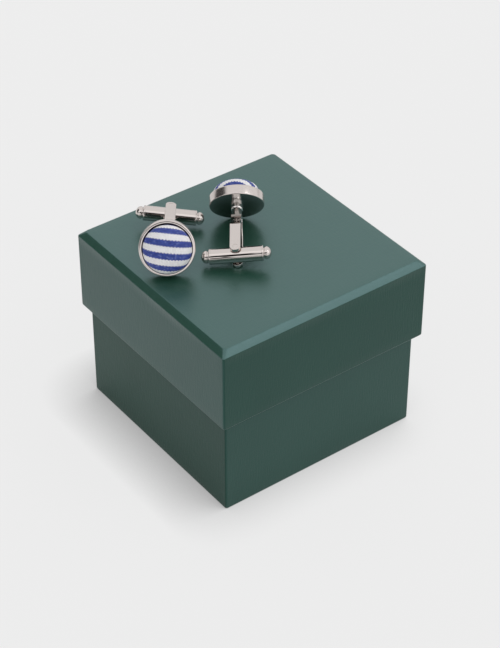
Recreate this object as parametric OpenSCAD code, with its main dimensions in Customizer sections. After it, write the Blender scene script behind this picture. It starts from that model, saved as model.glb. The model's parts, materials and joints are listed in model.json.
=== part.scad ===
// Pair of fabric-covered cufflinks with swivel bars, lying on the lid of their square gift box.
// Millimetres, +Z up, origin at the middle of the box's underside.
// +X runs towards the box's right-hand face and +Y towards its back left face.

/* [Box] */
// Side of the square base
base_side = 68; // [60:0.2:80]
// Side of the square lid
lid_side = 72; // [64:0.1:84]
// Height of the closed box
box_h = 59.3; // [45:0.1:80]
// Height of the lid's skirt, outside
lid_skirt = 27.1; // [15:0.1:40]
// Thickness of the lid's board
lid_board = 1.6; // [1:0.1:2]
// Thickness of the base's board
base_board = 1.8; // [1:0.1:3]
// Width of the chamfer round the top of the lid
lid_chamfer = 1.7; // [0.5:0.1:2.5]
// Radius of the box's upright corners
corner_r = 0.6; // [0.3:0.1:1]
// Width of the softened lower edges of the lid and the base
soft_edge = 0.5; // [0.2:0.1:0.8]

/* [Cup and cloth] */
// Outer diameter of a cufflink's cup
cup_d = 16; // [14:0.1:18]
// Height of the cup's wall, from its back to its rim
cup_h = 3.1; // [2.6:0.1:4]
// Width of the cup's rim
rim_w = 0.85; // [0.6:0.05:1.2]
// Chamfer on the outside of the rim
rim_chamfer = 0.35; // [0.2:0.05:0.5]
// Height of the cloth dome above the rim
dome_h = 4.2; // [2:0.1:5]
// Fullness of the dome, where 2 is a plain ellipse
dome_fullness = 2.35; // [2:0.05:3]

/* [Post] */
// Distance from the back of the cup to the bar's pin
post_l = 20.1; // [19:0.1:23]
// Angle between the cup's axis and the post
post_bend = 20.5; // [0:0.5:25]
// Diameter of the turned stem
stem_d = 3.1; // [2.6:0.1:3.6]
// Width of the fork's two straps
strap_w = 3.05; // [2.9:0.05:3.6]
// Thickness of each strap
strap_t = 1.05; // [0.8:0.05:1.3]
// Height of the fork over both straps
fork_h = 7.3; // [7:0.1:8]
// Length of the fork's shoulders for each millimetre that they spread
shoulder_slope = 3.2; // [2.8:0.2:3.2]

/* [Bar] */
// Length of the swivel bar over its round ends
bar_l = 20; // [18:0.1:20.4]
// Diameter of the bar
bar_d = 4.4; // [3.6:0.1:4.4]
// Diameter of the bar's round ends
bar_end_d = 3.7; // [3:0.1:3.8]
// Diameter of the pin through the straps and the bar
pin_d = 1.3; // [1:0.05:1.6]
// Radial play of the bar on its pin
pin_play = 0.05; // [0.02:0.01:0.1]

/* [Lie on the lid] */
// Upward tilt of each post, from its bar to its cup
post_tilt = 8.6; // [7:0.1:9.5]
// Place and turn of the left cufflink: pin x, pin y, heading of the post, roll about the post
left_lie = [-13.2, 21.3, -127.1, -6.3];
// Place and turn of the right cufflink: pin x, pin y, heading of the post, roll about the post
right_lie = [-9.3, -5.8, 53.1, -6.2];

/* [Hidden] */

$fn = 96;
far = 200;            // longer than anything that it cuts
board_gap = 0.1;      // between the lid's top board and the base's edge
base_top_edge = 0.2;  // chamfer on the base's upper edge, under the lid
rest_gap = 0.068;     // between a cufflink's lower strap and the lid that it lies on

cup_r = cup_d / 2;
cup_floor = 0.8;
cup_back_chamfer = 0.2;
cup_bore_r = cup_r - rim_w;
cloth_gap = 0.08;     // between the cloth and the metal round it
cloth_r = cup_bore_r - cloth_gap;
dome_steps = 14;

stem_r = stem_d / 2;
stem_ring_r = stem_r + 0.15;
stem_groove_r = stem_r - 0.2;
stem_root = 1.35;     // from the cup's back to the ring
stem_ring_l = 0.5;
stem_groove_l = 0.75;
stem_end = 5.3;       // from the cup's back to the start of the fork

fork_r = fork_h / 2;
slot_r = fork_r - strap_t;
fork_neck_x = post_l - stem_end;
slot_neck_r = 0.55;
slot_neck_x = fork_neck_x - 1;
slot_slope = shoulder_slope - 0.2;
pin_r = pin_d / 2;

bar_r = bar_d / 2;
bar_lip = 0.06;       // raised lip at each end of the bar's straight part
bar_lip_l = 0.55;
bar_edge = 0.2;       // rounding at the bar's lips
bar_groove_r = 1.6;
bar_groove_l = 0.35;
bar_end_l = 1.85;
bar_end_r = bar_end_d / 2;
bar_end_straight = 0.35;
bar_body_l = bar_l / 2 - bar_end_l - bar_groove_l;
bar_steps = 9;

metal = "silver";
cloth = "royalblue";
paper = "darkslategray";

// Height of a pin when the lower strap's tip touches the lid. The strap's outer face is a disc of
// radius strap_w / 2 round the pin, fork_r below it and square to a line that leans by up_z.
function pin_height(roll) =
    let (up_z = cos(post_tilt) * cos(roll))
    box_h + rest_gap + fork_r * up_z + strap_w / 2 * sqrt(1 - up_z * up_z);

// Rounded square on the XY plane
module rounded_square(side, r) {
    inner = side - 2 * r;
    square([inner, side], center = true);
    square([side, inner], center = true);
    for (x = [-1, 1], y = [-1, 1])
        translate([x * inner / 2, y * inner / 2]) circle(r);
}

// Long bar along Y with its four edges chamfered: by low_c below and by high_c above
module chamfered_bar(side, low, high, low_c, high_c) {
    half = side / 2;
    rotate([90, 0, 0])
        linear_extrude(far, center = true)
            polygon([
                [low_c - half, low], [half - low_c, low], [half, low + low_c],
                [half, high - high_c], [half - high_c, high],
                [high_c - half, high], [-half, high - high_c], [-half, low + low_c]
            ]);
}

// Upright square block with round corners and chamfered edges below and above
module chamfered_block(side, low, high, low_c, high_c) {
    intersection() {
        translate([0, 0, low]) linear_extrude(high - low) rounded_square(side, corner_r);
        chamfered_bar(side, low, high, low_c, high_c);
        rotate([0, 0, 90]) chamfered_bar(side, low, high, low_c, high_c);
    }
}

module box_base() {
    wall_h = box_h - lid_board - board_gap;
    color(paper)
        difference() {
            chamfered_block(base_side, 0, wall_h, soft_edge, base_top_edge);
            translate([0, 0, base_board])
                linear_extrude(far) square(base_side - 2 * base_board, center = true);
        }
}

module box_lid() {
    skirt_z = box_h - lid_skirt;
    color(paper)
        difference() {
            chamfered_block(lid_side, skirt_z, box_h, soft_edge, lid_chamfer);
            translate([0, 0, skirt_z - 1])
                linear_extrude(lid_skirt - lid_board + 1) square(lid_side - 2 * lid_board, center = true);
        }
}

// Puts a cufflink drawn round its pin, with the post along +X and the pin along Z, on the lid
module lie(place) {
    translate([place[0], place[1], pin_height(place[3])])
        rotate([place[3], -post_tilt, place[2]])
            children();
}

// Puts a piece drawn on the cup's own axis, with the cup's back at z = 0, on the end of the post
module on_cup() {
    translate([post_l, 0, 0]) rotate([0, 90 - post_bend, 0]) children();
}

// Puts a turned piece drawn along Z on the post, a distance from the cup's back
module on_post(from_cup) {
    translate([post_l - from_cup, 0, 0]) rotate([0, -90, 0]) children();
}

module cup_blank() {
    rotate_extrude()
        polygon([
            [0, 0], [cup_r - cup_back_chamfer, 0], [cup_r, cup_back_chamfer],
            [cup_r, cup_h - rim_chamfer], [cup_r - rim_chamfer, cup_h], [0, cup_h]
        ]);
}

// Turned stem: a shank at the cup, a thin ring, a groove and a plain cylinder up to the fork
module stem() {
    on_post(-1) cylinder(r = stem_r, h = 1 + stem_root);
    on_post(stem_root) cylinder(r = stem_ring_r, h = stem_ring_l);
    on_post(stem_root + stem_ring_l) cylinder(r = stem_groove_r, h = stem_groove_l);
    on_post(stem_root + stem_ring_l + stem_groove_l)
        cylinder(r = stem_r, h = stem_end - stem_root - stem_ring_l - stem_groove_l + 0.3);
}

// Side outline of a bottle lying along X: half_body high at each side, then half_neck from neck_x to
// end_x, with an S-shaped shoulder of two equal arcs between. The shoulder's length is its rise
// times slope.
module bottle(half_body, half_neck, neck_x, end_x, slope) {
    rise = half_body - half_neck;
    run = slope * rise;
    arc_r = rise * (1 + slope * slope) / 4;
    body_x = neck_x - run;
    mid_x = neck_x - run / 2;
    translate([-far, -half_body]) square([far + body_x, 2 * half_body]);
    translate([body_x, -half_neck]) square([end_x - body_x, 2 * half_neck]);
    for (side = [-1, 1])
        scale([1, side]) {
            intersection() {
                translate([body_x, 0]) square([mid_x - body_x, half_body]);
                translate([body_x, half_body - arc_r]) circle(arc_r, $fn = 180);
            }
            difference() {
                translate([mid_x, 0]) square([neck_x - mid_x, half_body]);
                translate([neck_x, half_neck + arc_r]) circle(arc_r, $fn = 180);
            }
        }
}

// Fork of two straps with round tips, which spreads from the stem and holds the pin
module fork() {
    intersection() {
        rotate([90, 0, 0])
            linear_extrude(strap_w, center = true)
                difference() {
                    bottle(fork_r, stem_r, fork_neck_x, fork_neck_x + 0.2, shoulder_slope);
                    bottle(slot_r, slot_neck_r, slot_neck_x, slot_neck_x, slot_slope);
                    translate([slot_neck_x, 0]) circle(slot_neck_r);
                }
        translate([0, 0, -fork_h])
            linear_extrude(2 * fork_h) {
                circle(strap_w / 2);
                translate([0, -strap_w / 2]) square([fork_neck_x + 1, strap_w]);
            }
    }
}

// Cup, stem and fork, soldered into one piece
module setting() {
    color(metal)
        difference() {
            union() {
                on_cup() cup_blank();
                stem();
                fork();
            }
            on_cup() translate([0, 0, cup_floor]) cylinder(r = cup_bore_r, h = far);
            cylinder(r = pin_r, h = 2 * fork_h, center = true);
        }
}

// Cloth drawn over a dome that fills the cup
module fabric() {
    function dome_point(a) = [
        cloth_r * pow(cos(a), 2 / dome_fullness),
        cup_h + dome_h * pow(sin(a), 2 / dome_fullness)
    ];
    color(cloth)
        on_cup()
            rotate_extrude()
                polygon(concat(
                    [[0, cup_floor + cloth_gap], [cloth_r, cup_floor + cloth_gap]],
                    [for (i = [0 : dome_steps - 1]) dome_point(90 * i / dome_steps)],
                    [[0, cup_h + dome_h]]
                ));
}

module pin() {
    color(metal) cylinder(r = pin_r, h = fork_h, center = true);
}

// Half of the bar's outline, from its middle to the tip of one round end: [distance, radius]
function bar_half() = let (
    lip_r = bar_r + bar_lip,
    groove_end = bar_body_l + bar_groove_l,
    dome_l = bar_end_l - bar_end_straight
) concat(
    [
        [0, bar_r], [bar_body_l - bar_lip_l, bar_r], [bar_body_l - bar_lip_l, lip_r],
        [bar_body_l - bar_edge, lip_r], [bar_body_l, lip_r - bar_edge],
        [bar_body_l, bar_groove_r], [groove_end, bar_groove_r],
        [groove_end, bar_end_r - bar_edge / 2], [groove_end + bar_edge / 2, bar_end_r]
    ],
    [for (i = [0 : bar_steps - 1]) let (a = 90 * i / bar_steps)
        [groove_end + bar_end_straight + dome_l * sin(a), bar_end_r * cos(a)]]
);

// Swivel bar, turned across the post and drilled for its pin
module bar() {
    color(metal)
        difference() {
            for (side = [-1, 1])
                rotate([side * 90, 0, 0])
                    rotate_extrude()
                        polygon(concat([[0, 0]], [for (p = bar_half()) [p[1], p[0]]], [[0, bar_l / 2]]));
            cylinder(r = pin_r + pin_play, h = 2 * bar_d, center = true);
        }
}

box_base();
box_lid();
lie(left_lie) setting();  // left_setting
lie(left_lie) fabric();  // left_fabric
lie(left_lie) pin();  // left_pin
lie(left_lie) bar();  // left_bar
lie(right_lie) setting();  // right_setting
lie(right_lie) fabric();  // right_fabric
lie(right_lie) pin();  // right_pin
lie(right_lie) bar();  // right_bar
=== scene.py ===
"""Looks for a pair of cloth-covered cufflinks that lie on the lid of their gift box.

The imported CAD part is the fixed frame. Each sub-assembly is a class that holds its sizes in
millimetres, builds its meshes where the frame says and dresses them in a procedural finish.
"""

from __future__ import annotations

import json
import logging
import math
from dataclasses import dataclass, field
from enum import Enum
from typing import Any, Iterable, Sequence

import bpy
import numpy as np
from mathutils import Matrix, Vector, noise

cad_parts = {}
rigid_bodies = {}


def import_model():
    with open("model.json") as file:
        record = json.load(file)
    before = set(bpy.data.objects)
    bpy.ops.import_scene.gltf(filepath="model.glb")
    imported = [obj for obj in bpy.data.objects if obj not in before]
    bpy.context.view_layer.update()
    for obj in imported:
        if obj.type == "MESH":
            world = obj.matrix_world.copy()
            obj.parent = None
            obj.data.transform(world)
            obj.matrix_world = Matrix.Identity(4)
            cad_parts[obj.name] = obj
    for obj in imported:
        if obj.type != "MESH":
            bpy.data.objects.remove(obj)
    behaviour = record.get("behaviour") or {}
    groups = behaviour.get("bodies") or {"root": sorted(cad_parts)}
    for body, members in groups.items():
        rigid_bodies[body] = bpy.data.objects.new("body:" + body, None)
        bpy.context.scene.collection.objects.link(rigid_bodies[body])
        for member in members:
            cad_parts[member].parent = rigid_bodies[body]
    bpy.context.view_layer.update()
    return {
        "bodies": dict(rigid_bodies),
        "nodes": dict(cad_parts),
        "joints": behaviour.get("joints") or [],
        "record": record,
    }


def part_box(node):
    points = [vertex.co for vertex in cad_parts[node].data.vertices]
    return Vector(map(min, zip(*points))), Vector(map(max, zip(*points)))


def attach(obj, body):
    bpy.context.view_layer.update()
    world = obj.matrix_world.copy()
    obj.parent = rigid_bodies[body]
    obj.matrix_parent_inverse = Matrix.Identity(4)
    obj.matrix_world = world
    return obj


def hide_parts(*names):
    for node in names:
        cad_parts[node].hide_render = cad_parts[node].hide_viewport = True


LOG = logging.getLogger("cufflinks")
MM = 0.001
TINY = 1e-6
OWN_PLACE = "own_place"
THREAD_STAGGER = 0.5

Point2 = tuple[float, float]
Point3 = tuple[float, float, float]
Colour = tuple[float, float, float, float]


class Side(Enum):
    """The two cufflinks, by where they lie in the photo."""

    LEFT = "left"
    RIGHT = "right"


class Slot(Enum):
    """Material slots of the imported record."""

    PAPER = "box_paper"
    METAL = "polished_metal"
    CLOTH = "striped_cloth"


class Metal(Enum):
    """The metals of a setting, numbered as its material slots are."""

    POLISHED = 0
    BRUSHED = 1
    # painted shade: the cup's back gets the same metal darkened, for the shade that it faces
    BACK_PAINTED_SHADE = 2
    # painted light: the stem gets the same metal brightened
    STEM_PAINTED_LIGHT = 3


@dataclass
class Shape:
    """Points in millimetres and the faces that join them."""

    points: list[Point3] = field(default_factory=list)
    faces: list[tuple[int, ...]] = field(default_factory=list)

    def ring(self, points: Iterable[Point3]) -> list[int]:
        """Adds points.

        Args:
            points: the points.

        Returns:
            Their numbers.
        """
        start = len(self.points)
        self.points.extend(points)
        return list(range(start, len(self.points)))

    def bridge(self, low: Sequence[int], high: Sequence[int]) -> None:
        """Joins two closed rings with quads, or with triangles where one ring is a single point.

        Args:
            low: the first ring, counter-clockwise seen from the side of the second.
            high: the second ring, with as many points, or one.
        """
        count = max(len(low), len(high))
        for i in range(count):
            j = (i + 1) % count
            if len(low) == 1:
                self.faces.append((low[0], high[j], high[i]))
            elif len(high) == 1:
                self.faces.append((low[i], low[j], high[0]))
            else:
                self.faces.append((low[i], low[j], high[j], high[i]))


@dataclass(frozen=True)
class Corner:
    """A corner of an outline, and the radius that rounds it."""

    x: float
    y: float
    radius: float = 0.0


def rounded(corners: Sequence[Corner], steps: int = 4) -> list[Point2]:
    """Rounds the corners of an open outline.

    Args:
        corners: the outline's corners in order. The first and last are never rounded.
        steps: chords in each rounded corner.

    Returns:
        The outline's points.
    """
    points: list[Point2] = []
    for i, corner in enumerate(corners):
        here = Vector((corner.x, corner.y))
        if corner.radius < TINY or i in (0, len(corners) - 1):
            points.append((corner.x, corner.y))
            continue
        back = (Vector((corners[i - 1].x, corners[i - 1].y)) - here).normalized()
        ahead = (Vector((corners[i + 1].x, corners[i + 1].y)) - here).normalized()
        opening = back.angle(ahead)
        reach = corner.radius / math.tan(opening / 2)
        centre = here + (back + ahead).normalized() * (corner.radius / math.sin(opening / 2))
        first = here + back * reach - centre
        last = here + ahead * reach - centre
        sweep = math.pi - opening
        for k in range(steps + 1):
            share = k / steps
            spoke = (
                first * math.sin((1 - share) * sweep) + last * math.sin(share * sweep)
            ) / math.sin(sweep)
            points.append(tuple(centre + spoke))
    return points


def turned(outline: Sequence[Point2], steps: int) -> Shape:
    """Turns an outline about the Z axis.

    Args:
        outline: points of (radius, height), outer side to the right of its direction upwards.
        steps: facets round the axis.

    Returns:
        The turned shape, closed where the outline starts and ends on the axis.
    """
    shape = Shape()
    angles = [2 * math.pi * i / steps for i in range(steps)]
    rings = []
    for radius, height in outline:
        if radius < TINY:
            rings.append(shape.ring([(0.0, 0.0, height)]))
        else:
            rings.append(
                shape.ring((radius * math.cos(a), radius * math.sin(a), height) for a in angles)
            )
    for low, high in zip(rings, rings[1:]):
        shape.bridge(low, high)
    return shape


def add_piece(name: str, shape: Shape, place: Matrix) -> bpy.types.Object:
    """Makes a mesh object of a shape.

    Args:
        name: the piece's name.
        shape: the shape, in millimetres and in the piece's own axes.
        place: the piece's axes in the frame, in metres.

    Returns:
        The new object.
    """
    mesh = bpy.data.meshes.new(name)
    mesh.from_pydata([[c * MM for c in p] for p in shape.points], [], shape.faces)
    mesh.update()
    piece = bpy.data.objects.new(name, mesh)
    bpy.context.scene.collection.objects.link(piece)
    piece.matrix_world = place
    return piece


def carve(piece: bpy.types.Object, others: Sequence[bpy.types.Object], operation: str) -> None:
    """Unites a piece with others, or cuts them out of it, and removes the others.

    Args:
        piece: the piece that is changed.
        others: the pieces that are used up.
        operation: UNION or DIFFERENCE.
    """
    used = bpy.data.collections.new("used")
    for other in others:
        used.objects.link(other)
    modifier = piece.modifiers.new("carve", "BOOLEAN")
    modifier.operation = operation
    modifier.solver = "EXACT"
    modifier.operand_type = "COLLECTION"
    modifier.collection = used
    bpy.context.view_layer.update()
    seen = piece.evaluated_get(bpy.context.evaluated_depsgraph_get())
    made = bpy.data.meshes.new_from_object(seen)
    piece.modifiers.clear()
    old, piece.data = piece.data, made
    made.name = piece.name
    bpy.data.meshes.remove(old)
    for other in others:
        bpy.data.objects.remove(other)
    bpy.data.collections.remove(used)


def settle(piece: bpy.types.Object) -> None:
    """Notes each point's place in the piece's own axes for its finish, then moves the mesh itself.

    The finish reads the places as OWN_PLACE, so its grain follows the piece and not the frame.

    Args:
        piece: the piece that is moved.
    """
    mesh = piece.data
    places = np.empty(3 * len(mesh.vertices))
    mesh.vertices.foreach_get("co", places)
    mesh.attributes.new(OWN_PLACE, "FLOAT_VECTOR", "POINT").data.foreach_set("vector", places)
    mesh.transform(piece.matrix_world)
    mesh.update()
    piece.matrix_world = Matrix.Identity(4)


def smooth(piece: bpy.types.Object, sharp_from: float | None = 32.0) -> None:
    """Shades a piece smoothly.

    Args:
        piece: the piece.
        sharp_from: edges that turn by more than this many degrees stay sharp. None keeps none.
    """
    piece.data.polygons.foreach_set("use_smooth", [True] * len(piece.data.polygons))
    if sharp_from is not None:
        piece.data.set_sharp_from_angle(angle=math.radians(sharp_from))
        piece.data.update()


def dress(
    piece: bpy.types.Object,
    finishes: Sequence[bpy.types.Material],
    body: str,
    node: str,
) -> bpy.types.Object:
    """Gives a piece its finishes, its body and the node that it stands for.

    Args:
        piece: the piece, settled in the frame.
        finishes: its materials, in the order of its slots.
        body: the body that it rides on.
        node: the node that it replaces.

    Returns:
        The piece.
    """
    for finish in finishes:
        piece.data.materials.append(finish)
    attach(piece, body)
    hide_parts(node)
    return piece


class NodeSheet:
    """A node tree with short calls that add and join its nodes."""

    def __init__(self, tree: bpy.types.NodeTree) -> None:
        """Empties the tree."""
        self.tree = tree
        tree.nodes.clear()

    def add(self, kind: str, inputs: dict[Any, Any] | None = None, **settings: Any) -> Any:
        """Adds a node.

        Args:
            kind: the node's type, without its ShaderNode prefix.
            inputs: values or sockets for its inputs, by name or number.
            settings: the node's own properties.

        Returns:
            The node.
        """
        node = self.tree.nodes.new("ShaderNode" + kind)
        for key, value in settings.items():
            setattr(node, key, value)
        for key, value in (inputs or {}).items():
            self.feed(node.inputs[key], value)
        return node

    def feed(self, socket: Any, value: Any) -> None:
        """Joins a socket to another, or sets its value.

        Args:
            socket: the input.
            value: the socket that feeds it, or the value that it gets.
        """
        if isinstance(value, bpy.types.NodeSocket):
            self.tree.links.new(value, socket)
        else:
            socket.default_value = value

    def own_place(self) -> Any:
        """The place on the piece, in its own axes and in metres."""
        return self.add("Attribute", attribute_name=OWN_PLACE).outputs["Vector"]

    def math(self, operation: str, *values: Any) -> Any:
        """Adds a Math node and returns its result."""
        return self.add("Math", dict(enumerate(values)), operation=operation).outputs[0]

    def scaled(self, vector: Any, scale: Point3) -> Any:
        """A vector with each part multiplied."""
        return self.add("VectorMath", {0: vector, 1: scale}, operation="MULTIPLY").outputs[0]

    def along(self, vector: Any, way: Vector) -> Any:
        """The length of a vector along a way."""
        return self.add("VectorMath", {0: vector, 1: way}, operation="DOT_PRODUCT").outputs[1]

    def noise(self, vector: Any, scale: float, detail: float = 2.0) -> Any:
        """The value of a noise texture at a vector, from 0 to 1."""
        inputs = {"Vector": vector, "Scale": scale, "Detail": detail}
        return self.add("TexNoise", inputs).outputs[0]

    def between(self, value: Any, low: float, high: float) -> Any:
        """A value from 0 to 1 spread over low to high."""
        return self.add("MapRange", {0: value, 3: low, 4: high}).outputs[0]

    def mix(self, share: Any, first: Any, second: Any) -> Any:
        """Adds a node that mixes two colours.

        Args:
            share: how much of the second colour shows, from 0 to 1.
            first: the first colour.
            second: the second colour.

        Returns:
            The socket with the mixed colour.
        """
        node = self.add("Mix", data_type="RGBA")
        self.feed(node.inputs[0], share)
        self.feed(node.inputs[6], first)
        self.feed(node.inputs[7], second)
        return node.outputs[2]

    def bump(self, height: Any, distance: float, strength: float = 1.0) -> Any:
        """The normal of a surface with a height from 0 to 1 over a distance in metres."""
        inputs = {"Height": height, "Distance": distance, "Strength": strength}
        return self.add("Bump", inputs).outputs[0]


def new_material(name: str) -> tuple[bpy.types.Material, NodeSheet, Any]:
    """Makes an empty material.

    Args:
        name: the material's name.

    Returns:
        The material, its node sheet and its shader.
    """
    material = bpy.data.materials.new(name)
    material.use_nodes = True
    sheet = NodeSheet(material.node_tree)
    shader = sheet.add("BsdfPrincipled")
    sheet.add("OutputMaterial", {0: shader.outputs[0]})
    return material, sheet, shader


@dataclass(frozen=True)
class PaperFinish:
    """Dark green box paper with a fine linen grain and a soft gloss."""

    name: str
    refraction: float
    smoothest: float
    roughest: float
    threads: tuple[float, float, float]
    gloss_tint: Colour = (0.62, 0.90, 1.0, 1.0)
    colour: Colour = (0.010, 0.046, 0.030, 1.0)
    deep_colour: Colour = (0.008, 0.038, 0.024, 1.0)
    grain_pitch: float = 0.4
    grain_run: float = 3.2
    grain_height: float = 0.08
    cloud_scale: float = 60.0

    def build(self) -> bpy.types.Material:
        """Makes the material, with a grain of threads along the piece's own axes.

        Returns:
            The paper.
        """
        material, sheet, shader = new_material(self.name)
        place = sheet.own_place()
        fine = 1 / (self.grain_pitch * MM)
        long = 1 / (self.grain_run * MM)
        along_x = sheet.noise(sheet.scaled(place, (long, fine, fine)), 1.0, 3.0)
        along_y = sheet.noise(sheet.scaled(place, (fine, long, fine)), 1.0, 3.0)
        along_z = sheet.noise(sheet.scaled(place, (fine, fine, long)), 1.0, 3.0)
        grain = sheet.math("MULTIPLY", along_x, self.threads[0])
        grain = sheet.math("MULTIPLY_ADD", along_y, self.threads[1], grain)
        grain = sheet.math("MULTIPLY_ADD", along_z, self.threads[2], grain)
        cloudy = sheet.noise(place, self.cloud_scale, 3.0)
        sheet.feed(shader.inputs["Base Color"], sheet.mix(cloudy, self.colour, self.deep_colour))
        sheet.feed(shader.inputs["Roughness"], sheet.between(grain, self.smoothest, self.roughest))
        sheet.feed(shader.inputs["IOR"], self.refraction)
        sheet.feed(shader.inputs["Specular Tint"], self.gloss_tint)
        sheet.feed(shader.inputs["Normal"], sheet.bump(grain, self.grain_height * MM))
        return material


@dataclass(frozen=True)
class MetalFinish:
    """Plated metal, polished or softly brushed along one of the piece's own axes."""

    name: str
    roughness: float
    spread: float
    brush: Point3 = (1.0, 1.0, 1.0)
    scratch_height: float = 0.0004
    colour: Colour = (0.64, 0.585, 0.56, 1.0)
    scratch_scale: float = 1400.0
    wear_scale: float = 260.0
    wear_share: float = 0.4

    def build(self) -> bpy.types.Material:
        """Makes the material, with fine scratches and a little wear in its gloss.

        Returns:
            The metal.
        """
        material, sheet, shader = new_material(self.name)
        place = sheet.own_place()
        lines = sheet.noise(sheet.scaled(place, self.brush), self.scratch_scale, 3.0)
        worn = sheet.math("MULTIPLY", sheet.noise(place, self.wear_scale, 3.0), self.wear_share)
        rough = sheet.math("MULTIPLY_ADD", lines, 1 - self.wear_share, worn)
        sheet.feed(shader.inputs["Base Color"], self.colour)
        sheet.feed(shader.inputs["Metallic"], 1.0)
        low, high = self.roughness - self.spread, self.roughness + self.spread
        sheet.feed(shader.inputs["Roughness"], sheet.between(rough, low, high))
        sheet.feed(shader.inputs["Normal"], sheet.bump(lines, self.scratch_height * MM))
        return material


@dataclass(frozen=True)
class StripedCloth:
    """Closely woven cotton with blue stripes on white. Its map counts threads each way."""

    name: str = "striped_cotton"
    white: Colour = (0.97, 0.96, 0.97, 1.0)
    dull_white: Colour = (0.87, 0.86, 0.87, 1.0)
    blue: Colour = (0.046, 0.082, 0.38, 1.0)
    deep_blue: Colour = (0.016, 0.036, 0.24, 1.0)
    repeat: float = 8.0
    blue_threads: float = 4.0
    valley_painted_shade: float = 0.72
    fleck: Colour = (0.10, 0.14, 0.42, 1.0)
    fleck_share: float = 0.12
    roughness: float = 0.55
    sheen: float = 0.03
    gloss: float = 0.4

    def build(self) -> bpy.types.Material:
        """Makes the material, with a random tone for every stitch and painted shade that darkens it from
        each stitch's crown into the valleys between stitches.

        Returns:
            The cloth.
        """
        material, sheet, shader = new_material(self.name)
        parts = sheet.add("SeparateXYZ", {0: sheet.add("TexCoord").outputs["UV"]})
        across, up = parts.outputs[0], parts.outputs[1]
        column = sheet.math("FLOOR", across)
        odd = sheet.math("FLOORED_MODULO", column, 2.0)
        shift = sheet.math("MULTIPLY_ADD", odd, THREAD_STAGGER, -THREAD_STAGGER / 2)
        lifted = sheet.math("ADD", up, shift)
        row = sheet.math("FLOOR", lifted)
        in_repeat = sheet.math("FLOORED_MODULO", row, self.repeat)
        blue = sheet.math("LESS_THAN", in_repeat, self.blue_threads)
        stitch = sheet.add("CombineXYZ", {0: column, 1: row}).outputs[0]
        chance = sheet.add("TexWhiteNoise", {0: stitch}).outputs[0]
        colour = sheet.mix(
            blue,
            sheet.mix(chance, self.dull_white, self.white),
            sheet.mix(
                sheet.math("LESS_THAN", chance, self.fleck_share),
                sheet.mix(chance, self.deep_blue, self.blue),
                self.fleck,
            ),
        )
        # painted shade: the colour darkens from each stitch's crown into the valleys between stitches
        wide = sheet.math("ABSOLUTE", sheet.math("SINE", sheet.math("MULTIPLY", across, math.pi)))
        tall = sheet.math("ABSOLUTE", sheet.math("SINE", sheet.math("MULTIPLY", lifted, math.pi)))
        crown = sheet.math("SQRT", sheet.math("MULTIPLY", wide, tall))
        shaded = sheet.add("Mix", {0: 1.0}, data_type="RGBA", blend_type="MULTIPLY")
        sheet.feed(shaded.inputs[6], colour)
        sheet.feed(shaded.inputs[7], sheet.between(crown, self.valley_painted_shade, 1.0))
        sheet.feed(shader.inputs["Base Color"], shaded.outputs[2])
        sheet.feed(shader.inputs["Roughness"], self.roughness)
        sheet.feed(shader.inputs["Sheen Weight"], self.sheen)
        sheet.feed(shader.inputs["Specular IOR Level"], self.gloss)
        return material


@dataclass(frozen=True)
class FloorFinish:
    """Pale studio floor that glows evenly, with a close, soft contact shadow painted into its glow."""

    name: str = "pale_floor"
    colour: Colour = (0.08, 0.08, 0.08, 1.0)
    mottle_scale: float = 40.0
    smoothest: float = 0.85
    roughest: float = 0.95
    gloss: float = 0.1
    lift: float = 0.77
    painted_shadow_reach: float = 18.0
    painted_shadow_depth: float = 0.76
    painted_shadow_lean: Point3 = (0.46, -0.34, 0.82)

    def build(self) -> bpy.types.Material:
        """Makes the material, with a painted contact shadow: its glow fades where something stands close.

        Returns:
            The floor's material.
        """
        material, sheet, shader = new_material(self.name)
        place = sheet.add("TexCoord").outputs["Object"]
        sheet.feed(shader.inputs["Base Color"], self.colour)
        mottle = sheet.noise(place, self.mottle_scale)
        sheet.feed(shader.inputs["Roughness"], sheet.between(mottle, self.smoothest, self.roughest))
        sheet.feed(shader.inputs["Specular IOR Level"], self.gloss)
        sheet.feed(shader.inputs["Emission Color"], (1.0, 1.0, 1.0, 1.0))
        # painted shadow: ambient occlusion dims the floor's glow near the box
        reach = {"Distance": self.painted_shadow_reach * MM, "Normal": self.leaning(sheet)}
        near = sheet.add("AmbientOcclusion", reach).outputs["AO"]
        strength = sheet.between(near, self.lift * (1 - self.painted_shadow_depth), self.lift)
        sheet.feed(shader.inputs["Emission Strength"], strength)
        return material

    def leaning(self, sheet: NodeSheet) -> Any:
        """A floor normal that leans to one side, so that the painted contact shadow falls to the other.
        """
        parts = dict(enumerate(self.painted_shadow_lean))
        return sheet.add("CombineXYZ", parts).outputs[0]


def square_ring(
    half: float, radius: float, height: float, side_steps: int, corner_steps: int
) -> list[Point3]:
    """Points round a level square with rounded corners, counter-clockwise from above.

    Args:
        half: half of the square's side.
        radius: radius of its corners.
        height: its height.
        side_steps: chords along each straight side.
        corner_steps: chords round each corner.

    Returns:
        The ring's points.
    """
    radius = min(radius, half)
    reach = half - radius
    corners = [(reach, reach), (-reach, reach), (-reach, -reach), (reach, -reach)]
    ring: list[Point3] = []
    for quarter, (x, y) in enumerate(corners):
        for k in range(corner_steps + 1):
            angle = math.pi / 2 * (quarter + k / corner_steps)
            ring.append((x + radius * math.cos(angle), y + radius * math.sin(angle), height))
        end = ring[-1]
        next_x, next_y = corners[(quarter + 1) % 4]
        angle = math.pi / 2 * (quarter + 1)
        start = (next_x + radius * math.cos(angle), next_y + radius * math.sin(angle))
        for k in range(1, side_steps):
            share = k / side_steps
            ring.append(
                (end[0] + (start[0] - end[0]) * share, end[1] + (start[1] - end[1]) * share, height)
            )
    return ring


@dataclass(frozen=True)
class RingSpec:
    """One level ring of a board shell: half of its side, corner radius and height."""

    half: float
    radius: float
    height: float


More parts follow.
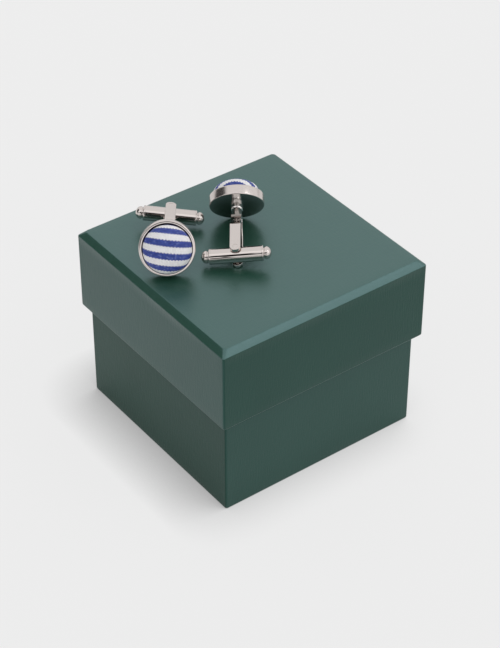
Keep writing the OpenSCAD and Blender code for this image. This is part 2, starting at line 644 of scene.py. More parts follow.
@dataclass
class BoardShell:
    """A square tray of paper-covered board, standing up or turned over as a lid."""

    name: str
    node: str
    side: float
    low: float
    high: float
    wall: float
    floor: float
    edge_round: float
    lip_round: float
    chamfer: float = 0.0
    corner: float = 0.7
    top_corner: float = 1.1
    chamfer_round: float = 0.45
    wave: float = 0.05
    wave_length: float = 14.0
    inner_corner: float = 0.25
    margin: float = 3.0
    lip: float = 1.0
    side_steps: int = 26
    corner_steps: int = 6
    face_rings: int = 12
    wall_step: float = 3.0

    def outer_radius(self, inset: float) -> float:
        """Finds the radius of the outer skin's corners.

        Args:
            inset: how far inside the wall's face the skin lies.

        Returns:
            The radius.
        """
        if inset <= 0 or self.chamfer <= 0:
            return self.corner
        return self.corner + (self.top_corner - self.corner) * min(1.0, inset / self.chamfer)

    def rings(self, outline: Sequence[Point2], inner: bool) -> list[RingSpec]:
        """Turns an outline into rings, each with the corner radius that fits it.

        Args:
            outline: points of (inset from the wall's face, height).
            inner: whether the outline lies inside the shell.

        Returns:
            The rings in the outline's order.
        """
        half = self.side / 2
        specs = []
        for inset, height in outline:
            radius = self.inner_corner if inner else self.outer_radius(inset)
            specs.append(RingSpec(half - inset, radius, height))
        return specs

    def split_runs(self, outline: Sequence[Point2]) -> list[Point2]:
        """Adds points along upright runs so that they can wave a little.

        Args:
            outline: points of (inset, height).

        Returns:
            The outline with the new points.
        """
        points = [outline[0]]
        for (x0, y0), (x1, y1) in zip(outline, outline[1:]):
            count = max(1, round(abs(y1 - y0) / self.wall_step))
            points += [
                (x0 + (x1 - x0) * k / count, y0 + (y1 - y0) * k / count) for k in range(1, count + 1)
            ]
        return points

    def flat_rings(self, first: float, height: float, inner: bool) -> list[RingSpec]:
        """Fills a level face with rings.

        Args:
            first: half of the side of the ring outside them.
            height: the face's height.
            inner: whether the face lies inside the shell.

        Returns:
            The rings from the outside inwards.
        """
        radius = self.inner_corner if inner else self.outer_radius(self.side / 2 - first)
        count = self.face_rings
        return [RingSpec(first * (1 - k / count), radius, height) for k in range(1, count)]

    def waved(self, point: Point3) -> Point3:
        """Moves a point of the skin inwards a little, as hand-laid paper lies over its board.

        Args:
            point: the point.

        Returns:
            Its new place.
        """
        x, y, z = point
        value = noise.noise(Vector(point) / self.wave_length)
        pull = self.wave * (0.5 + 0.5 * value)
        half = self.side / 2
        edge = max(abs(x), abs(y))
        if edge > half - TINY:
            scale = (edge - pull) / edge
            return (x * scale, y * scale, z)
        return point

    def shape(self) -> Shape:
        """Lofts the whole shell, from the middle of its closed face round its rim to the inside."""
        raise NotImplementedError

    def loft(self, specs: Sequence[RingSpec]) -> Shape:
        """Joins rings into a shape that is closed at both ends.

        Args:
            specs: the rings in order.

        Returns:
            The shape.
        """
        shape = Shape()
        rings = [
            shape.ring(
                self.waved(p)
                for p in square_ring(s.half, s.radius, s.height, self.side_steps, self.corner_steps)
            )
            for s in specs
        ]
        for low, high in zip(rings, rings[1:]):
            shape.bridge(low, high)
        shape.faces.append(tuple(reversed(rings[0])))
        shape.faces.append(tuple(rings[-1]))
        return shape

    def build(
        self, sheen_painted_level_paper: bpy.types.Material, ends: bpy.types.Material, sides: bpy.types.Material
    ) -> bpy.types.Object:
        """Makes the shell, dresses it and lets it stand for its node.

        Args:
            sheen_painted_level_paper: the paper of level faces and chamfers, lighter and glossier as
                painted sheen.
            ends: the paper of the upright faces across the X axis, its gloss set to paint the light on
                them.
            sides: the paper of the upright faces along the X axis, its gloss set to paint the light on
                them.

        Returns:
            The new piece.
        """
        piece = add_piece(self.name, self.shape(), Matrix.Identity(4))
        settle(piece)
        smooth(piece)
        dress(piece, (sheen_painted_level_paper, ends, sides), "root", self.node)
        # painted light: upright faces take the end and side papers, copies of one paper whose gloss is
        # set per face direction
        upright_below = 0.3
        for polygon in piece.data.polygons:
            across, along, up = (abs(part) for part in polygon.normal)
            if up < upright_below:
                polygon.material_index = 1 if across > along else 2
        return piece


@dataclass
class BoxBase(BoardShell):
    """The tray that stands on the floor, open upwards under the lid."""

    def shape(self) -> Shape:
        """Lofts the tray from the middle of its underside to the middle of its inside.

        Returns:
            The tray.
        """
        half = self.side / 2
        outside = rounded([
            Corner(self.margin, self.low),
            Corner(0.0, self.low, self.edge_round),
            Corner(0.0, self.high, self.lip_round),
            Corner(self.wall, self.high, self.lip_round),
            Corner(self.wall, self.high - self.lip),
        ])
        inside = [(self.wall, self.high - self.lip), (self.wall, self.low + self.floor)]
        under = list(reversed(self.flat_rings(half - self.margin, self.low, False)))
        specs = under + self.rings(self.split_runs(outside), False)[:-1]
        specs += self.rings(self.split_runs(inside), True)
        specs += self.flat_rings(half - self.wall, self.low + self.floor, True)
        return self.loft(specs)


@dataclass
class BoxLid(BoardShell):
    """The lid with its chamfered top, open downwards."""

    def shape(self) -> Shape:
        """Lofts the lid from the middle of its ceiling, round its rim, to the middle of its top.

        Returns:
            The lid.
        """
        half = self.side / 2
        ceiling = self.high - self.floor
        inside = [(self.wall, ceiling), (self.wall, self.low + self.lip)]
        outside = rounded([
            Corner(self.wall, self.low + self.lip),
            Corner(self.wall, self.low, self.lip_round),
            Corner(0.0, self.low, self.edge_round),
            Corner(0.0, self.high - self.chamfer, self.chamfer_round),
            Corner(self.chamfer, self.high, self.chamfer_round),
            Corner(self.chamfer + self.margin, self.high),
        ])
        specs = list(reversed(self.flat_rings(half - self.wall, ceiling, True)))
        specs += self.rings(self.split_runs(inside), True)
        specs += self.rings(self.split_runs(outside), False)[1:]
        specs += self.flat_rings(half - self.chamfer - self.margin, self.high, False)
        return self.loft(specs)


@dataclass(frozen=True)
class Lie:
    """Where a cufflink lies: the middle of its pin, the way along its post and along its pin."""

    origin: Vector
    along: Vector
    up: Vector

    @classmethod
    def of(cls, frame: dict[str, Any], side: Side) -> "Lie":
        """Reads a cufflink's place from the frame.

        Args:
            side: which cufflink.

        Returns:
            Its place, with the post's direction from the bar to the cup.
        """
        joint = next(j for j in frame["joints"] if j["name"] == f"{side.value}_bar_swivel")
        mounts = frame["record"]["mounts"]
        post = next(m for m in mounts if m["name"] == f"{side.value}_post")
        up = Vector(joint["axis"]).normalized()
        along = -Vector(post["axis"])
        along = (along - up * along.dot(up)).normalized()
        return cls(Vector(joint["pos_m"]), along, up)

    def matrix(self) -> Matrix:
        """Finds the cufflink's own axes: X along the post to the cup, Z along the pin.

        Returns:
            The axes in the frame.
        """
        across = self.up.cross(self.along)
        turn = Matrix((self.along, across, self.up)).transposed()
        return Matrix.Translation(self.origin) @ turn.to_4x4()


@dataclass
class ClothCap:
    """The cloth of one cufflink, drawn over its dome: one woven sheet with its edge tucked in."""

    side: Side
    cup: Matrix
    rim_height: float
    blue_middle: float
    radius: float = 6.9
    dome: float = 4.17
    fullness: float = 2.35
    thread: float = 0.4625
    half_stripe: float = 2.0
    cells: int = 6
    tuck: float = 0.5
    thickness: float = 0.3
    relief: float = 0.07
    mean_height: float = 0.6
    bow: float = 0.007
    off_centre: Point2 = (0.0, 0.0)
    inner_rings: int = 8
    samples: int = 4000

    def profile(self) -> tuple[np.ndarray, np.ndarray, np.ndarray]:
        """The dome's outline from its pole to the tucked edge.

        Returns:
            Distance along the cloth, radius and height at each sample.
        """
        angle = np.linspace(math.pi / 2, 0.0, self.samples)
        power = 2 / self.fullness
        radius = self.radius * np.clip(np.cos(angle), 0, 1) ** power
        height = self.rim_height + self.dome * np.clip(np.sin(angle), 0, 1) ** power
        radius = np.append(radius, self.radius)
        height = np.append(height, self.rim_height - self.tuck)
        steps = np.hypot(np.diff(radius), np.diff(height))
        return np.append(0.0, np.cumsum(steps)), radius, height

    def thread_counts(self, across: np.ndarray, up: np.ndarray) -> tuple[np.ndarray, np.ndarray]:
        """Counts threads from the middle of the cloth.

        Args:
            across: distance along the stripes, in millimetres.
            up: distance across the stripes.

        Returns:
            Threads each way. A blue stripe starts where the second is a multiple of eight.
        """
        level = up - self.bow * across ** 2 - self.blue_middle
        return across / self.thread, level / self.thread + self.half_stripe

    def weave_height(self, across: np.ndarray, up: np.ndarray) -> np.ndarray:
        """Finds the height of the weave.

        Args:
            across: threads from the middle along the stripes.
            up: threads from the middle across the stripes.

        Returns:
            The height at each point, from 0 to 1.
        """
        lifted = up + THREAD_STAGGER * ((np.floor(across) % 2) - 0.5)
        crown = np.abs(np.sin(math.pi * across)) * np.abs(np.sin(math.pi * lifted))
        return np.sqrt(crown)

    def on_dome(self, across: np.ndarray, up: np.ndarray, lift: np.ndarray) -> np.ndarray:
        """Lays points of the flat cloth on the dome.

        Args:
            across: distance along the level threads, in millimetres from the middle.
            up: distance along the upright threads.
            lift: how far each point stands off the dome.

        Returns:
            The points in the cup's own axes.
        """
        path, radius, height = self.profile()
        along = np.hypot(across, up)
        place_r = np.interp(along, path, radius)
        place_z = np.interp(along, path, height)
        step = 0.02
        ahead_r = np.interp(along + step, path, radius) - np.interp(along - step, path, radius)
        ahead_z = np.interp(along + step, path, height) - np.interp(along - step, path, height)
        length = np.maximum(np.hypot(ahead_r, ahead_z), TINY)
        place_r = place_r - lift * ahead_z / length
        place_z = place_z + lift * ahead_r / length
        heading = np.arctan2(up, across)
        level = place_r * np.cos(heading) + self.off_centre[0]
        upright = place_r * np.sin(heading) + self.off_centre[1]
        return np.stack([-upright, level, place_z], axis=1)

    def round_grid(self, edge: float) -> tuple[np.ndarray, np.ndarray, np.ndarray]:
        """Lays a fine square grid and keeps the faces inside the round cloth.

        Args:
            edge: the flat cloth's radius.

        Returns:
            Each point's distance along and across the stripes, and the faces.
        """
        step = self.thread / self.cells
        count = int(edge / step)
        line = np.arange(-count, count + 1) * step
        across, up = (g.ravel() for g in np.meshgrid(line, line, indexing="ij"))
        width = len(line)
        margin = 0.3 * step
        inside = np.hypot(across, up) < edge - margin
        grid = np.arange(width * width).reshape(width, width)
        quads = np.stack([grid[:-1, :-1], grid[1:, :-1], grid[1:, 1:], grid[:-1, 1:]], axis=-1)
        quads = quads.reshape(-1, 4)
        quads = quads[inside[quads].all(axis=1)]
        kept, packed = np.unique(quads, return_inverse=True)
        return across[kept], up[kept], packed.reshape(-1, 4)

    def border(self, across: np.ndarray, up: np.ndarray, quads: np.ndarray) -> np.ndarray:
        """Finds the points on the border of a grid.

        Args:
            across: each point's distance along the stripes.
            up: each point's distance across the stripes.
            quads: the grid's faces.

        Returns:
            The border's point numbers, in order round the middle.
        """
        sides = np.sort(np.concatenate([quads[:, [i, (i + 1) % 4]] for i in range(4)]), axis=1)
        lines, uses = np.unique(sides, axis=0, return_counts=True)
        border = np.unique(lines[uses == 1])
        return border[np.argsort(np.arctan2(up[border], across[border]))]

    def lined(self, top: np.ndarray, quads: np.ndarray, border: np.ndarray, heading: np.ndarray) -> Shape:
        """Closes the outer skin with the cloth's inner face.

        Args:
            top: the outer skin's points.
            quads: its faces.
            border: the numbers of its border points, in order.
            heading: the angle of each border point round the middle.

        Returns:
            The whole cloth.
        """
        edge = float(self.profile()[0][-1])
        points, faces = [top], [quads]
        previous, total = border, len(top)
        count = len(border)
        depth = np.full(count, -self.thickness)
        for k in range(self.inner_rings):
            distance = edge * (1 - k / self.inner_rings)
            points.append(self.on_dome(distance * np.cos(heading), distance * np.sin(heading), depth))
            numbers = np.arange(total, total + count)
            round_ring = [previous, np.roll(previous, -1), np.roll(numbers, -1), numbers]
            faces.append(np.stack(round_ring, axis=1)[:, ::-1])
            previous, total = numbers, total + count
        near_middle = np.array([0.001])
        points.append(self.on_dome(near_middle, np.array([0.0]), depth[:1]))
        last = [int(i) for i in previous]
        shape = Shape([tuple(p) for p in np.concatenate(points)])
        shape.faces = [tuple(int(i) for i in face) for block in faces for face in block]
        shape.faces += [(last[(i + 1) % count], last[i], total) for i in range(count)]
        return shape

    def build(self, material: bpy.types.Material) -> bpy.types.Object:
        """Weaves the cloth as a closed thin shell and dresses it.

        Args:
            material: the cloth's finish.

        Returns:
            The new piece.
        """
        edge = float(self.profile()[0][-1])
        across, up, quads = self.round_grid(edge)
        border = self.border(across, up, quads)
        stretch = edge / np.hypot(across[border], up[border])
        across[border] *= stretch
        up[border] *= stretch
        threads = self.thread_counts(across, up)
        lift = self.relief * (self.weave_height(*threads) - self.mean_height)
        lift[border] = 0.0
        top = self.on_dome(across, up, lift)
        heading = np.arctan2(up[border], across[border])
        name = self.side.value
        piece = add_piece(f"{name}_cloth", self.lined(top, quads, border, heading), self.cup)
        self.map_threads(piece, *threads)
        settle(piece)
        smooth(piece, None)
        dress(piece, [material], "root", f"{name}_fabric")
        return piece

    def map_threads(self, piece: bpy.types.Object, across: np.ndarray, up: np.ndarray) -> None:
        """Writes the outer skin's thread counts into the piece's UV map.

        Args:
            piece: the cloth.
            across: threads along the stripes at each point of the outer skin.
            up: threads across the stripes.
        """
        layer = piece.data.uv_layers.new(name="threads")
        corner = np.zeros(len(piece.data.loops), dtype=np.int32)
        piece.data.loops.foreach_get("vertex_index", corner)
        table = np.zeros((len(piece.data.vertices), 2))
        table[: len(across), 0] = across
        table[: len(up), 1] = up
        layer.data.foreach_set("uv", table[corner].ravel())


@dataclass
class Cufflink:
    """One cufflink: cup, stem and fork as one soldered piece, its pin, its bar and its cloth."""

    side: Side
    lie: Lie
    blue_middle: float
    cloth_shift: Point2
    cup_d: float = 16.0
    cup_h: float = 3.1
    cup_floor: float = 0.8
    rim_w: float = 0.85
    back_round: float = 0.25
    rim_round: float = 0.42
    bore_round: float = 0.1
    post_l: float = 20.1
    post_bend: float = 20.5
    stem_r: float = 1.55
    stem_end: float = 5.3
    stem_foot: float = 1.0
    stem_in_fork: float = 0.1
    ring_proud: float = 0.15
    ring_end: float = 1.85
    groove_depth: float = 0.12
    groove_end: float = 2.2
    strap_w: float = 3.05
    strap_t: float = 1.05
    fork_h: float = 7.3
    strap_edge: float = 0.12
    strap_in_stem: float = 0.25
    strap_lap: float = 0.02
    outer_slope: float = 3.2
    slot_slope: float = 3.0
    slot_neck: float = 0.55
    slot_end: float = 1.0
    bar_l: float = 20.0
    bar_r: float = 2.2
    pin_r: float = 0.65
    pin_play: float = 0.05

    def cup_matrix(self) -> Matrix:
        """The cup's own axes in the frame: its back at the origin and Z out through its face."""
        lean = Matrix.Rotation(math.radians(90 - self.post_bend), 4, "Y")
        return self.lie.matrix() @ Matrix.Translation((self.post_l * MM, 0, 0)) @ lean

    def cup(self) -> bpy.types.Object:
        """Turns the hollow cup with its softened rim.

        Returns:
            The cup.
        """
        r = self.cup_d / 2
        bore = r - self.rim_w
        outline = rounded([
            Corner(0.0, 0.0),
            Corner(r, 0.0, self.back_round),
            Corner(r, self.cup_h, self.rim_round),
            Corner(bore, self.cup_h, self.bore_round),
            Corner(bore, self.cup_floor, self.bore_round),
            Corner(0.0, self.cup_floor),
        ], steps=6)
        return add_piece("cup", turned(outline, steps=160), self.cup_matrix())

    def stem(self) -> bpy.types.Object:
        """Turns the stem, with its ring and groove, and lets its foot into the cup's floor.

        Returns:
            The stem.
        """
        ring_r, groove_r = self.stem_r + self.ring_proud, self.stem_r - self.groove_depth
        end = self.stem_end + self.stem_in_fork
        outline = rounded([
            Corner(0.0, -self.stem_foot),
            Corner(ring_r, -self.stem_foot),
            Corner(ring_r, self.ring_end, 0.3),
            Corner(groove_r, self.ring_end, 0.06),
            Corner(groove_r, self.groove_end, 0.06),
            Corner(self.stem_r, self.groove_end, 0.1),
            Corner(self.stem_r, end, 0.25),
            Corner(0.0, end),
        ], steps=5)
        shape = turned(outline, steps=96)
        lean = math.radians(90 - self.post_bend)
        depth = self.cup_floor / 2
        for i, (x, y, z) in enumerate(shape.points):
            if z < -self.stem_foot / 2:
                # the foot's end follows the cup's floor, which the post meets at a slant
                shape.points[i] = (x, y, -(depth - math.cos(lean) * x) / math.sin(lean))
        turn = Matrix.Rotation(-math.pi / 2, 4, "Y")
        place = self.lie.matrix() @ Matrix.Translation((self.post_l * MM, 0, 0)) @ turn
        return add_piece("stem", shape, place)

    def shoulder(self, x: float, body: float, neck: float, neck_x: float, slope: float) -> float:
        """Height of an S-shaped shoulder of two equal arcs at a distance along the post.

        Args:
            x: distance from the pin.
            body: height before the shoulder.
            neck: height after it.
            neck_x: where the shoulder ends.
            slope: the shoulder's length over its rise.

        Returns:
            The height at x.
        """
        rise = body - neck
        arc = rise * (1 + slope * slope) / 4
        start = neck_x - slope * rise
        middle = (start + neck_x) / 2
        if x <= start:
            return body
        if x <= middle:
            return body - arc + math.sqrt(arc * arc - (x - start) ** 2)
        if x < neck_x:
            return neck + arc - math.sqrt(arc * arc - (neck_x - x) ** 2)
        return neck

    def strap_heights(self, x: float) -> Point2:
        """Finds how high a strap's faces lie.

        Args:
            x: distance from the pin along the post.

        Returns:
            The heights of its inner and its outer face.
        """
        half = self.fork_h / 2
        neck_x = self.post_l - self.stem_end
        outer = self.shoulder(x, half, self.stem_r, neck_x, self.outer_slope)
        slot_x = neck_x - self.slot_end
        if x > slot_x:
            reach = self.slot_neck ** 2 - (x - slot_x) ** 2
            inner = math.sqrt(reach) if reach > 0 else -self.strap_lap
        else:
            inner = self.shoulder(x, half - self.strap_t, self.slot_neck, slot_x, self.slot_slope)
        return inner, outer

    def strap_plan(self, straight: int, tip: int) -> list[tuple[Point2, Point2]]:
        """Draws a strap's outline from above, from its root round its tip and back.

        Args:
            straight: chords along each long side.
            tip: chords round each quarter of the tip.

        Returns:
            Each point with the way that its edge faces.
        """
        half = self.strap_w / 2
        end = self.post_l - self.stem_end + self.strap_in_stem
        plan: list[tuple[Point2, Point2]] = []
        for k in range(straight):
            plan.append(((end * (1 - k / straight), -half), (0.0, -1.0)))
        for k in range(2 * tip + 1):
            angle = -math.pi / 2 - math.pi * k / (2 * tip)
            spoke = (math.cos(angle), math.sin(angle))
            plan.append(((half * spoke[0], half * spoke[1]), spoke))
        for k in range(1, straight + 1):
            plan.append(((end * k / straight, half), (0.0, 1.0)))
        return plan

    def strap(self, hand: int) -> bpy.types.Object:
        """Builds one strap of the fork with a round tip and softened edges.

        Args:
            hand: 1 for the upper strap and -1 for the lower one.

        Returns:
            The strap.
        """
        edge = self.strap_edge
        layers, rungs = 4, 6
        plan = self.strap_plan(straight=64, tip=14)
        last = len(plan) - 1

        shape = Shape()
        levels: list[list[int]] = []
        rounds = [math.pi / 2 * k / layers for k in range(layers + 1)]
        stack = [(edge * (1 - math.sin(a)), edge * (1 - math.cos(a)), False) for a in rounds]
        stack += [(edge * (1 - math.cos(a)), edge * (1 - math.sin(a)), True) for a in rounds]
        for inset, depth, outer in stack:
            row = []
            for (x, y), (nx, ny) in plan:
                px, py = x - inset * nx, y - inset * ny
                inner_z, outer_z = self.strap_heights(px)
                z = outer_z - depth if outer else inner_z + depth
                row.append((px, py, hand * z))
            levels.append(shape.ring(row))

        def face(*numbers: int) -> None:
            """Adds a face, turned over for the lower strap."""
            shape.faces.append(numbers if hand > 0 else tuple(reversed(numbers)))

        for low, high in zip(levels, levels[1:]):
            for j in range(last):
                face(low[j + 1], low[j], high[j], high[j + 1])
        for row, outwards in ((levels[0], False), (levels[-1], True)):
            ladder = []
            for j in range(last // 2):
                a, b = shape.points[row[j]], shape.points[row[last - j]]
                between = [
                    tuple(a[i] + (b[i] - a[i]) * k / rungs for i in range(3)) for k in range(1, rungs)
                ]
                ladder.append([row[j]] + shape.ring(between) + [row[last - j]])
            ladder.append([row[last // 2]] * (rungs + 1))
            for near, far in zip(ladder, ladder[1:]):
                for k in range(rungs):
                    numbers = [near[k], near[k + 1], far[k + 1], far[k]]
                    if far[k] == far[k + 1]:
                        numbers = numbers[:3]
                    face(*(numbers if outwards else reversed(numbers)))
            if outwards:
                outer_end = ladder[0]
            else:
                inner_end = ladder[0]
        rise_left = [level[0] for level in levels[1:-1]]
        rise_right = [level[last] for level in levels[1:-1]]
        face(*inner_end, *rise_right, *reversed(outer_end), *reversed(rise_left))
        return add_piece("strap", shape, self.lie.matrix())

    def drill(self, radius: float, half: float) -> bpy.types.Object:
        """Turns a drill that runs along the pin.

        Args:
            radius: the drill's radius.
            half: half of its length.

        Returns:
            The drill.
        """
        outline = [(0.0, -half), (radius, -half), (radius, half), (0.0, half)]
        return add_piece("drill", turned(outline, steps=64), self.lie.matrix())

    def setting(self, finishes: Sequence[bpy.types.Material]) -> bpy.types.Object:
        """Solders cup, stem and both straps into one piece and drills it for the pin.

        Args:
            finishes: the four metals, in the order of Metal.

        Returns:
            The new piece.
        """
        piece = self.cup()
        carve(piece, [self.stem(), self.strap(1), self.strap(-1)], "UNION")
        carve(piece, [self.drill(self.pin_r, half=8.0)], "DIFFERENCE")
        piece.name = f"{self.side.value}_cup_and_post"
        to_link = self.lie.matrix().inverted() @ self.cup_matrix()
        for polygon in piece.data.polygons:
            polygon.material_index = self.metal_at(polygon.center, polygon.normal, to_link).value
        settle(piece)
        smooth(piece)
        return dress(piece, finishes, "root", f"{self.side.value}_setting")

    def metal_at(self, spot: Vector, normal: Vector, to_link: Matrix) -> Metal:
        """Chooses the metal of one face of the setting.

        Args:
            spot: the face's middle in the cup's own axes.
            normal: the way that it faces, in the same axes.
            to_link: turns the cup's own axes into the cufflink's.

        Returns:
            The metal.
        """
        skin = 0.02 * MM
        square, level, upright = 0.95, 0.9, 0.2
        stem_from = self.post_l - self.stem_end - self.stem_foot
        centre = to_link @ spot
        facing = to_link.to_3x3() @ normal
        # the cup's flat back gets the darkened metal as painted shade
        if spot.z < skin / 2 and -normal.z > square:
            return Metal.BACK_PAINTED_SHADE
        # the stem's faces behind the cup get the brightened metal as painted light
        if spot.z < 0 and centre.x > stem_from * MM:
            return Metal.STEM_PAINTED_LIGHT
        if abs(facing.z) > level and abs(centre.z) > self.fork_h / 2 * MM - skin:
            return Metal.BRUSHED
        if abs(normal.z) < upright and spot.xy.length > self.cup_d / 2 * MM - skin:
            return Metal.BRUSHED
        return Metal.POLISHED

    def pin(self, finish: bpy.types.Material) -> bpy.types.Object:
        """Turns the pin with its softened ends.

        Args:
            finish: the polished metal.

        Returns:
            The new piece.
        """
        half = self.fork_h / 2
        outline = rounded([
            Corner(0.0, -half),
            Corner(self.pin_r, -half, 0.06),
            Corner(self.pin_r, half, 0.06),
            Corner(0.0, half),
        ])
        shape = turned(outline, steps=64)
        piece = add_piece(f"{self.side.value}_rivet", shape, self.lie.matrix())
        settle(piece)
        smooth(piece)
        return dress(piece, [finish], "root", f"{self.side.value}_pin")

    def bar_outline(self) -> list[Point2]:
        """Draws the bar's outline from one round end to the other.

        Returns:
            Its points of (radius, distance from the bar's middle).
        """
        lip_r, groove_r, end_r = self.bar_r + 0.04, 1.6, 1.85
        end_l, groove_l, straight, lip_l = 1.85, 0.35, 0.35, 0.55
        body = self.bar_l / 2 - end_l - groove_l
        dome_from, dome = body + groove_l + straight, end_l - straight
        steps = 16
        half = rounded([
            Corner(self.bar_r, 0.0),
            Corner(self.bar_r, body - lip_l, 0.04),
            Corner(lip_r, body - lip_l, 0.04),
            Corner(lip_r, body, 0.3),
            Corner(groove_r, body, 0.05),
            Corner(groove_r, body + groove_l, 0.05),
            Corner(end_r, body + groove_l, 0.12),
            Corner(end_r, dome_from),
        ], steps=5)
        angles = [math.pi / 2 * k / steps for k in range(1, steps)]
        half += [(end_r * math.cos(a), dome_from + dome * math.sin(a)) for a in angles]
        half.append((0.0, self.bar_l / 2))
        return [(r, -z) for r, z in reversed(half[1:])] + half

    def bar(self, finish: bpy.types.Material) -> bpy.types.Object:
        """Turns the swivel bar and drills it for its pin.

        Args:
            finish: the polished metal.

        Returns:
            The new piece.
        """
        across = self.lie.matrix() @ Matrix.Rotation(-math.pi / 2, 4, "X")
        shape = turned(self.bar_outline(), steps=128)
        piece = add_piece(f"{self.side.value}_swivel_bar", shape, across)
        carve(piece, [self.drill(self.pin_r + self.pin_play, half=4.0)], "DIFFERENCE")
        settle(piece)
        smooth(piece)
        bar = f"{self.side.value}_bar"
        return dress(piece, [finish], bar, bar)

    def build(
        self, metals: Sequence[bpy.types.Material], cloth: bpy.types.Material
    ) -> list[bpy.types.Object]:
        """Builds and dresses the whole cufflink.

        Args:
            metals: the four metals, in the order of Metal.
            cloth: the striped cloth.

        Returns:
            Its pieces.
        """
        cap = ClothCap(
            self.side, self.cup_matrix(), self.cup_h, self.blue_middle, off_centre=self.cloth_shift
        )
        polished = metals[Metal.POLISHED.value]
        return [self.setting(metals), self.pin(polished), self.bar(polished), cap.build(cloth)]


def direction(heading: float, elevation: float) -> Vector:
    """The unit vector with a heading from +X towards +Y and an elevation, in degrees."""
    h, e = math.radians(heading), math.radians(elevation)
    return Vector((math.cos(h) * math.cos(e), math.sin(h) * math.cos(e), math.sin(e)))


@dataclass(frozen=True)
class Glow:
    """A soft-edged patch of the room, brighter or darker than the rest. Angles are in degrees."""

    heading: float
    elevation: float
    half_width: float
    half_height: float
    softness: float
    brightness: float

    def share(self, sheet: NodeSheet, ray: Any) -> Any:
        """How far a ray lies in the patch, from 0 to 1.

        Args:
            sheet: the room's node sheet.
            ray: the ray's direction.

        Returns:
            The socket with the share.
        """
        away = direction(self.heading, self.elevation)
        top = direction(self.heading, self.elevation + 90)
        ahead = sheet.along(ray, away)
        inside = None
        for way, half in ((away.cross(top), self.half_width), (top, self.half_height)):
            angle = sheet.math("ABSOLUTE", sheet.math("ARCTAN2", sheet.along(ray, way), ahead))
            limits = {0: angle, 1: math.radians(half + self.softness), 2: math.radians(half)}
            edge = sheet.add("MapRange", limits, interpolation_type="SMOOTHSTEP").outputs[0]
            inside = edge if inside is None else sheet.math("MULTIPLY", inside, edge)
        return inside


@dataclass
class Studio:
    """The pale floor, the soft lights and the camera at the photo's viewing angle."""

    camera_heading: float = -126.8
    camera_elevation: float = 38.1
    camera_roll: float = 0.08
    camera_distance: float = 593.4
    camera_target: Point3 = (0.31, 0.57, 29.97)
    focal_px: float = 1999.3
    picture_long_px: float = 648.0
    sensor: float = 36.0
    floor_front: float = 1500.0
    floor_back: float = 3000.0
    backdrop: Colour = (0.838, 0.838, 0.838, 1.0)
    room: float = 0.95
    glows: tuple[Glow, ...] = (
        Glow(heading=-56, elevation=40, half_width=8, half_height=12, softness=8, brightness=3.2),
        Glow(heading=140, elevation=24, half_width=22, half_height=18, softness=12, brightness=0.04),
        Glow(heading=53, elevation=2, half_width=62, half_height=9, softness=6, brightness=0.68),
        Glow(heading=-126.8, elevation=64, half_width=60, half_height=8, softness=8, brightness=1.2),
        Glow(heading=-143, elevation=16, half_width=21, half_height=13, softness=8, brightness=0.06),
        Glow(heading=-111, elevation=21, half_width=17, half_height=4.5, softness=3, brightness=1.1),
        Glow(heading=-154, elevation=12, half_width=20, half_height=7, softness=3, brightness=1.0),
        Glow(heading=-126.8, elevation=35, half_width=14, half_height=9, softness=3, brightness=0.01),
    )

    def floor(self) -> bpy.types.Object:
        """Lays the floor.

        Returns:
            The floor.
        """
        near, far = -self.floor_front, self.floor_back
        corners = [(near, near, 0.0), (far, near, 0.0), (far, far, 0.0), (near, far, 0.0)]
        piece = add_piece("studio_floor", Shape(corners, [(0, 1, 2, 3)]), Matrix.Identity(4))
        piece.data.materials.append(FloorFinish().build())
        return piece

    def world(self) -> None:
        """Lights the room softly from all round, and shows the camera a plain pale backdrop."""
        world = bpy.data.worlds.new("studio")
        world.use_nodes = True
        sheet = NodeSheet(world.node_tree)
        ray = sheet.add("TexCoord").outputs["Generated"]
        light: Any = (self.room, self.room, self.room, 1.0)
        for glow in self.glows:
            patch = (glow.brightness, glow.brightness, glow.brightness, 1.0)
            light = sheet.mix(glow.share(sheet, ray), light, patch)
        seen = sheet.add("LightPath").outputs["Is Camera Ray"]
        colour = sheet.mix(seen, light, self.backdrop)
        sheet.add("OutputWorld", {0: sheet.add("Background", {0: colour}).outputs[0]})
        bpy.context.scene.world = world

    def camera(self) -> bpy.types.Object:
        """Sets the camera where the photo was taken from.

        Returns:
            The camera.
        """
        data = bpy.data.cameras.new("photo_camera")
        data.sensor_width = self.sensor
        data.lens = self.sensor * self.focal_px / self.picture_long_px
        data.clip_start, data.clip_end = 0.01, 20.0
        camera = bpy.data.objects.new("photo_camera", data)
        bpy.context.scene.collection.objects.link(camera)
        back = direction(self.camera_heading, self.camera_elevation)
        camera.location = Vector(self.camera_target) * MM + back * self.camera_distance * MM
        look = (-back).to_track_quat("-Z", "Y").to_matrix().to_4x4()
        roll = Matrix.Rotation(math.radians(self.camera_roll), 4, "Z")
        camera.rotation_mode = "QUATERNION"
        camera.rotation_quaternion = (look @ roll).to_quaternion()
        bpy.context.scene.camera = camera
        return camera

    def build(self) -> None:
        """Sets up the whole studio, with colours shown as they are."""
        self.floor()
        self.world()
        self.camera()
        bpy.context.scene.view_settings.view_transform = "Standard"


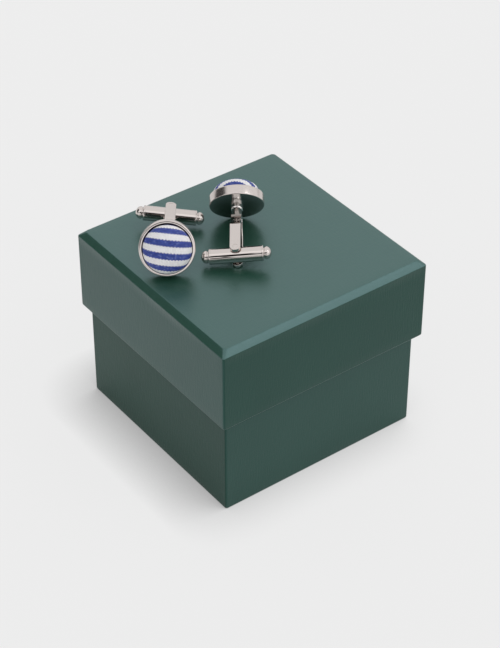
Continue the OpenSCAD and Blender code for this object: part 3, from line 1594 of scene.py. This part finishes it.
def box_papers() -> dict[str, bpy.types.Material]:
    """Makes the box's papers as lit and shaded copies of one paper, with painted light and painted sheen.

    Returns:
        The papers by where they lie.
    """
    cool = (0.55, 0.92, 1.0, 1.0)
    level, upright = (0.5, 0.5, 0.0), (0.2, 0.2, 0.6)
    # painted sheen: the level faces' paper has a lighter colour and a much stronger gloss than the
    # upright papers
    painted_sheen_colour, painted_sheen_deep_colour = (0.017, 0.066, 0.041, 1.0), (0.013, 0.056, 0.034, 1.0)
    # painted light and shade: each upright face direction gets a gloss of its own, set to match how light
    # falls on that face
    papers = [
        PaperFinish("level_paper_painted_sheen", 2.02, 0.22, 0.42, level, colour=painted_sheen_colour, deep_colour=painted_sheen_deep_colour),
        PaperFinish("lid_end_paper", 1.56, 0.24, 0.40, upright, cool),
        PaperFinish("lid_side_paper", 1.42, 0.24, 0.40, upright, cool),
        PaperFinish("base_end_paper", 1.34, 0.28, 0.46, upright, cool),
        PaperFinish("base_side_paper", 1.50, 0.28, 0.46, upright, cool),
    ]
    return {paper.name: paper.build() for paper in papers}


def link_metals() -> list[bpy.types.Material]:
    """Makes the cufflinks' metals.

    Returns:
        The four metals, in the order of Metal.
    """
    metals = {
        Metal.POLISHED: MetalFinish("polished_plate", 0.04, 0.03),
        Metal.BRUSHED: MetalFinish("brushed_plate", 0.22, 0.07, (1.0, 0.08, 1.0), 0.003),
        # painted shade: the polished metal darkened for the cup's back
        Metal.BACK_PAINTED_SHADE: MetalFinish("cup_back_painted_shade", 0.07, 0.03, colour=(0.34, 0.32, 0.305, 1.0)),
        # painted light: the polished metal brightened beyond a real metal's colour for the stem
        Metal.STEM_PAINTED_LIGHT: MetalFinish("stem_plate_painted_light", 0.09, 0.05, colour=(1.0, 0.97, 0.95, 1.0)),
    }
    return [metals[metal].build() for metal in Metal]


def box_shell(make: type[BoardShell], name: str, node: str, **sizes: float) -> BoardShell:
    """Sizes a board shell as its node is.

    Args:
        make: the shell's class.
        name: the piece's name.
        node: the node that it stands for.
        sizes: the shell's other sizes in millimetres.

    Returns:
        The shell.
    """
    lowest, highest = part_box(node)
    side, low, high = (
        round(value / MM, 3) for value in (highest[0] - lowest[0], lowest[2], highest[2])
    )
    return make(name, node, side, low, high, **sizes)


def main() -> None:
    """Builds the looks in order round the frame and logs each piece's face count."""
    logging.basicConfig(level=logging.INFO, format="%(message)s")
    for thing in list(bpy.data.objects):
        bpy.data.objects.remove(thing)
    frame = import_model()

    Studio().build()
    papers, metals, cloth = box_papers(), link_metals(), StripedCloth().build()
    sheen_painted_level_paper = papers["level_paper_painted_sheen"]
    base = box_shell(
        BoxBase, "paper_base", "box_base", wall=1.8, floor=1.8, edge_round=0.6, lip_round=0.2
    )
    lid = box_shell(
        BoxLid, "paper_lid", "box_lid", wall=1.6, floor=1.6, edge_round=0.6, lip_round=0.25, chamfer=1.7
    )
    pieces = [
        base.build(sheen_painted_level_paper, papers["base_end_paper"], papers["base_side_paper"]),
        lid.build(sheen_painted_level_paper, papers["lid_end_paper"], papers["lid_side_paper"]),
    ]
    links = (
        Cufflink(Side.LEFT, Lie.of(frame, Side.LEFT), blue_middle=2.13, cloth_shift=(0.08, -0.2)),
        Cufflink(Side.RIGHT, Lie.of(frame, Side.RIGHT), blue_middle=0.95, cloth_shift=(0.05, 0.0)),
    )
    for link in links:
        pieces += link.build(metals, cloth)
    for piece in pieces:
        LOG.info("%s: %d faces", piece.name, len(piece.data.polygons))


if __name__ == "__main__":
    main()
